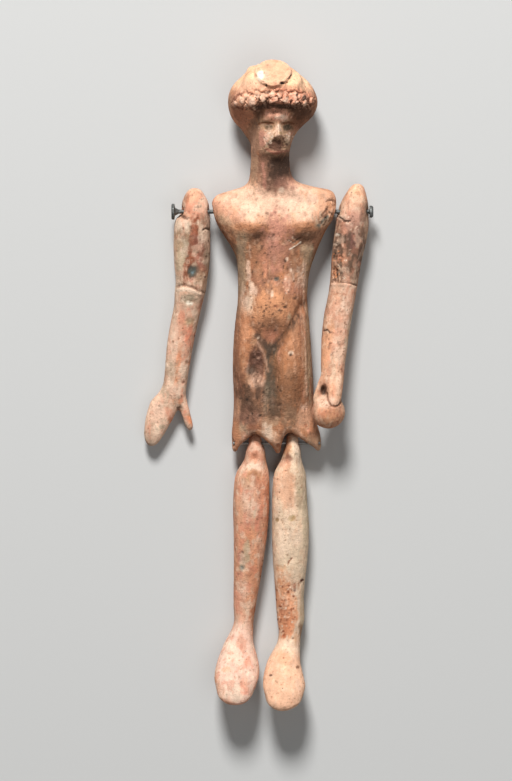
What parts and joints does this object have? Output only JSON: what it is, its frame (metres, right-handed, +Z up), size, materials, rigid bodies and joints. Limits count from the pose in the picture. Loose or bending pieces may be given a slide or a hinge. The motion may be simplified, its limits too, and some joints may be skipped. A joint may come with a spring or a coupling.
{
  "type": "jointed terracotta doll",
  "caption": "Slender jointed clay doll: narrow torso and long neck in one piece under a mushroom of curly hair, hanging arms, one hand on a ball, pinned lower legs; shown lying on its back.",
  "frame": {"origin": "on the floor under the middle of the lying doll's footprint", "axes": "+Y from the feet to the crown, +Z up out of the chest, +X to the doll's own left"},
  "size_m": [0.0596, 0.1702, 0.0195],
  "materials": {
    "torso_clay": "unglazed, worn, brown-orange",
    "limb_clay": "unglazed, worn, pale peach with traces of white and red",
    "rod_metal": "dull grey",
    "wire_metal": "dull"
  },
  "bodies": {
    "root": {"torso_and_head": "torso_clay", "right_arm": "limb_clay", "left_arm": "limb_clay", "right_leg": "limb_clay", "left_leg": "limb_clay", "shoulder_rod": "rod_metal", "knee_wire": "wire_metal"}
  },
  "joints": []
}
